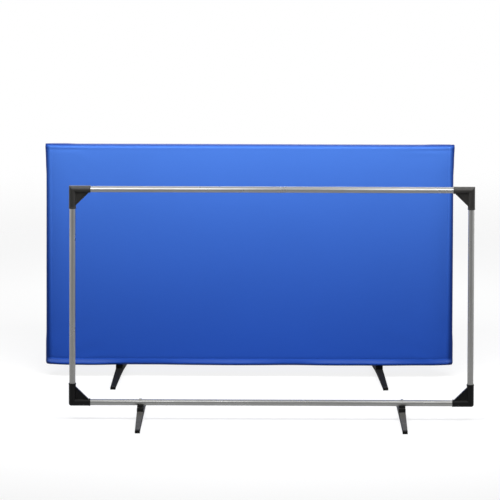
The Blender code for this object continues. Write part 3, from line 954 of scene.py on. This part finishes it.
def stitch_bodies(places, ways, outward):
    """One closed, arched length of thread at each place."""
    points, faces = [], []
    for place, way, out in zip(places, ways, outward):
        aside = np.cross(way, out)
        start = len(points)
        for along, lift, girth in zip(RING_SHARES, LIFT_SHARES, GIRTH_SHARES):
            centre = place + way * STITCH_LENGTH * along + out * THREAD * lift
            for step in range(STITCH_SIDES):
                angle = 2 * math.pi * step / STITCH_SIDES
                spoke = aside * math.cos(angle) + out * math.sin(angle)
                points.append(tuple(centre + spoke * THREAD * girth))
        count = len(RING_SHARES)
        for ring in range(count - 1):
            for step in range(STITCH_SIDES):
                a = start + ring * STITCH_SIDES + step
                b = start + ring * STITCH_SIDES + (step + 1) % STITCH_SIDES
                faces.append((a, b, b + STITCH_SIDES, a + STITCH_SIDES))
        faces.append(tuple(range(start + STITCH_SIDES - 1, start - 1, -1)))
        last = start + (count - 1) * STITCH_SIDES
        faces.append(tuple(range(last, last + STITCH_SIDES)))
    return points, faces


def stitch_line(name, line, outward):
    """A row of stitches along a line of points on the cloth."""
    places, ways = walked(line, STITCH_PITCH)
    outs = np.tile(np.array(outward, float), (len(places), 1))
    outs -= ways * (outs * ways).sum(axis=1)[:, None]
    outs /= np.linalg.norm(outs, axis=1)[:, None]
    points, faces = stitch_bodies(places, ways, outs)
    return to_object(name, points, faces, thread_finish)


def sew_cover(points, sheets):
    """The hem's row of stitches and the seam's row beside the turn, in front and behind."""
    made = []
    hem_row = HEM_ROWS_MM.index(HEM_SEAM_MM)
    inset = EDGE_COLUMNS_MM.index(SEAM_INSET_MM)
    for label, sheet, side in (("front", sheets[0], -1), ("back", sheets[1], 1)):
        last_row = len(sheet) - 1 - inset
        last_column = len(sheet[0]) - 1 - inset
        hem = [points[v] for v in sheet[hem_row]]
        left = [points[sheet[k][inset]] for k in range(hem_row + 1, last_row + 1)]
        top = [points[sheet[last_row][i]] for i in range(inset + 1, last_column)]
        right = [points[sheet[k][last_column]] for k in range(last_row, hem_row, -1)]
        out = (0, side, 0)
        made.append(stitch_line(f"cover_{label}_hem_stitches", hem, out))
        made.append(stitch_line(f"cover_{label}_edge_stitches", left + top + right, out))
    return made


def build_cover():
    """The sleeve with its thickness and stitches, in place of the six cloth nodes."""
    points, faces, sheets = cover_skin()
    cover = to_object("cover", points, faces, finishes["cover_cloth"])
    thickness = cover.modifiers.new("cloth", "SOLIDIFY")
    thickness.thickness = CLOTH
    thickness.offset = -1
    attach(cover, "cover")
    panels = [f"cover_{word}_panel" for word in ("front", "back")]
    bands = [f"cover_{word}_band" for word in ("top_front", "top_back", "left", "right")]
    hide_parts(*panels, *bands)
    sewing = sew_cover(points, sheets)
    for row in sewing:
        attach(row, "cover")


# Camera, floor and light


def set_camera():
    """The photograph's camera: far off, a little above, looking down on both barriers."""
    data = bpy.data.cameras.new("camera")
    data.sensor_width = SENSOR
    data.lens = SENSOR * FOCAL_PIXELS / PHOTO_PIXELS
    data.clip_end = CAMERA_REACH
    camera = bpy.data.objects.new("camera", data)
    pan = Matrix.Rotation(-CAMERA_PAN, 4, "Z")
    tilt = Matrix.Rotation(math.pi / 2 - CAMERA_TILT, 4, "X")
    roll = Matrix.Rotation(CAMERA_ROLL, 4, "Z")
    camera.matrix_world = Matrix.Translation(CAMERA_PLACE) @ pan @ tilt @ roll
    bpy.context.scene.collection.objects.link(camera)
    bpy.context.scene.camera = camera


def sent_on(tree, rays):
    """1 for the rays that reflections and clear plastics send to the background."""
    return worked_out(tree, "MAXIMUM", rays["Is Glossy Ray"], rays["Is Transmission Ray"])


def floor_finish():
    """Pale paper that keeps the shadows, and fades into the white round it."""
    made, tree, shader, place = new_material("floor_paper")
    rays = put(tree, "LightPath").outputs
    mirrored = multiplied(tree, sent_on(tree, rays), FLOOR_MIRRORED)
    straight = multiplied(tree, rays["Is Camera Ray"], FLOOR_LIFT)
    distance = put(tree, "VectorMath", {0: place}, operation="LENGTH").outputs["Value"]
    feed(
        tree,
        shader,
        Base_Color=(FLOOR_SHADE, FLOOR_SHADE, FLOOR_SHADE, 1),
        Roughness=0.9,
        Specular_IOR_Level=0.0,
        Emission_Color=WHITE,
        Emission_Strength=worked_out(tree, "MAXIMUM", straight, mirrored),
        Alpha=share_between(tree, distance, FLOOR_RADIUS, FLOOR_SOLID, SOFT),
    )
    return made


def lay_floor():
    """A round of floor under both barriers."""
    rim = []
    for step in range(FLOOR_SIDES):
        angle = 2 * math.pi * step / FLOOR_SIDES
        rim.append((FLOOR_RADIUS * math.cos(angle), FLOOR_RADIUS * math.sin(angle), 0))
    to_object("floor", rim, [tuple(range(FLOOR_SIDES))], floor_finish())


def set_world():
    """White to the camera, and a soft studio to the barriers: dimmer on the camera's side."""
    world = bpy.data.worlds.new("studio")
    world.use_nodes = True
    tree = world.node_tree
    tree.nodes.clear()
    direction = put(tree, "TexCoord").outputs["Generated"]
    rays = put(tree, "LightPath").outputs
    soft = place_group(tree, "studio", {"Direction": direction, **DIFFUSE_STUDIO})["Strength"]
    shiny = place_group(tree, "studio", {"Direction": direction, **GLOSSY_STUDIO})["Strength"]
    reflected = blended(tree, sent_on(tree, rays), soft, shiny)
    seen = blended(tree, rays["Is Camera Ray"], reflected, 1.0)
    light = put(tree, "Background", {"Color": WHITE, "Strength": seen})
    tree.links.new(light.outputs[0], put(tree, "OutputWorld").inputs["Surface"])
    bpy.context.scene.world = world


def hang_lamp(name, place, target, size, radiance):
    """A soft rectangle of light aimed at a place, hidden from the camera."""
    data = bpy.data.lights.new(name, "AREA")
    data.shape = "RECTANGLE"
    data.size, data.size_y = size
    data.energy = radiance * math.pi * data.size * data.size_y
    lamp = bpy.data.objects.new(name, data)
    lamp.location = place
    aim = Vector(target) - Vector(place)
    lamp.rotation_euler = aim.to_track_quat("-Z", "Y").to_euler()
    lamp.visible_camera = False
    bpy.context.scene.collection.objects.link(lamp)
    return lamp


def light_barriers():
    """The wash down the cloth, the highlights along the rails, and the light from behind. The two
    glints reach only the bare frame's top rail and its corners."""
    wash = hang_lamp(*WASH_LAMP)
    wash.visible_glossy = False
    for lamp in (*RAIL_LAMPS, BACK_LAMP):
        hang_lamp(*lamp)
    polished = bpy.data.collections.new("polished_by_glints")
    for name in ("bare_top_rail", "bare_top_left_corner", "bare_top_right_corner"):
        polished.objects.link(frame["nodes"][name])
    for lamp in GLINT_LAMPS:
        hang_lamp(*lamp).light_linking.receiver_collection = polished


set_camera()
finish_cad_nodes()
build_cover()
lay_floor()
set_world()
light_barriers()
bpy.context.scene.view_settings.view_transform = "Standard"
